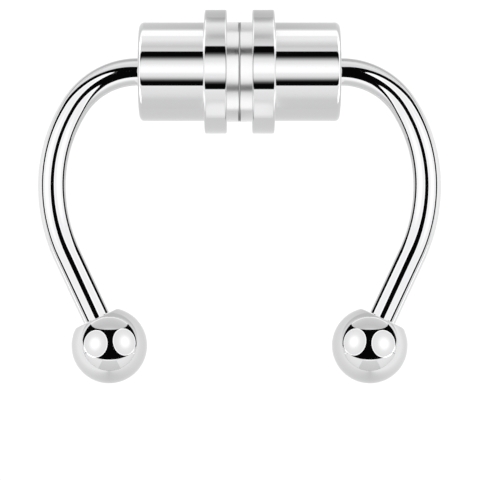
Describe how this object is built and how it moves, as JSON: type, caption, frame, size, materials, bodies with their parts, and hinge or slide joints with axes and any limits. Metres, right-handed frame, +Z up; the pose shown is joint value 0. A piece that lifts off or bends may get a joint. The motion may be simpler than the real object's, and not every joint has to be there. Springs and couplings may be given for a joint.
{
  "type": "magnetic septum ring",
  "caption": "Open horseshoe septum ring: two bent wire arms with end balls, joined at the top by disc magnets held in flanged barrels.",
  "frame": {"origin": "on the surface that the ring lies on, under the middle of its bounding box", "axes": "+X along the barrels' axis, from the left half to the right half; +Y from the balls towards the barrels; +Z up, across the ring's thin side"},
  "size_m": [0.0176, 0.0162, 0.0054],
  "materials": {
    "polished_steel": "mirror-polished surgical steel",
    "magnet_plate": "satin nickel plate on a disc magnet"
  },
  "bodies": {
    "left_half": {"left_magnet": "magnet_plate", "left_holder": "polished_steel", "left_arm": "polished_steel", "left_ball": "polished_steel"},
    "right_magnet": {"right_magnet": "magnet_plate"},
    "right_half": {"right_holder": "polished_steel", "right_arm": "polished_steel", "right_ball": "polished_steel"}
  },
  "joints": [
    {"name": "magnet_pull", "type": "slide", "parent": "left_half", "child": "right_magnet", "axis": [1, 0, 0], "range_m": [0, 0.012], "stiffness_N_per_m": 20},
    {"name": "magnet_swivel", "type": "hinge", "parent": "right_magnet", "child": "right_half", "pos_m": [0, 0.00543, 0.0027], "axis": [1, 0, 0], "continuous": true}
  ]
}
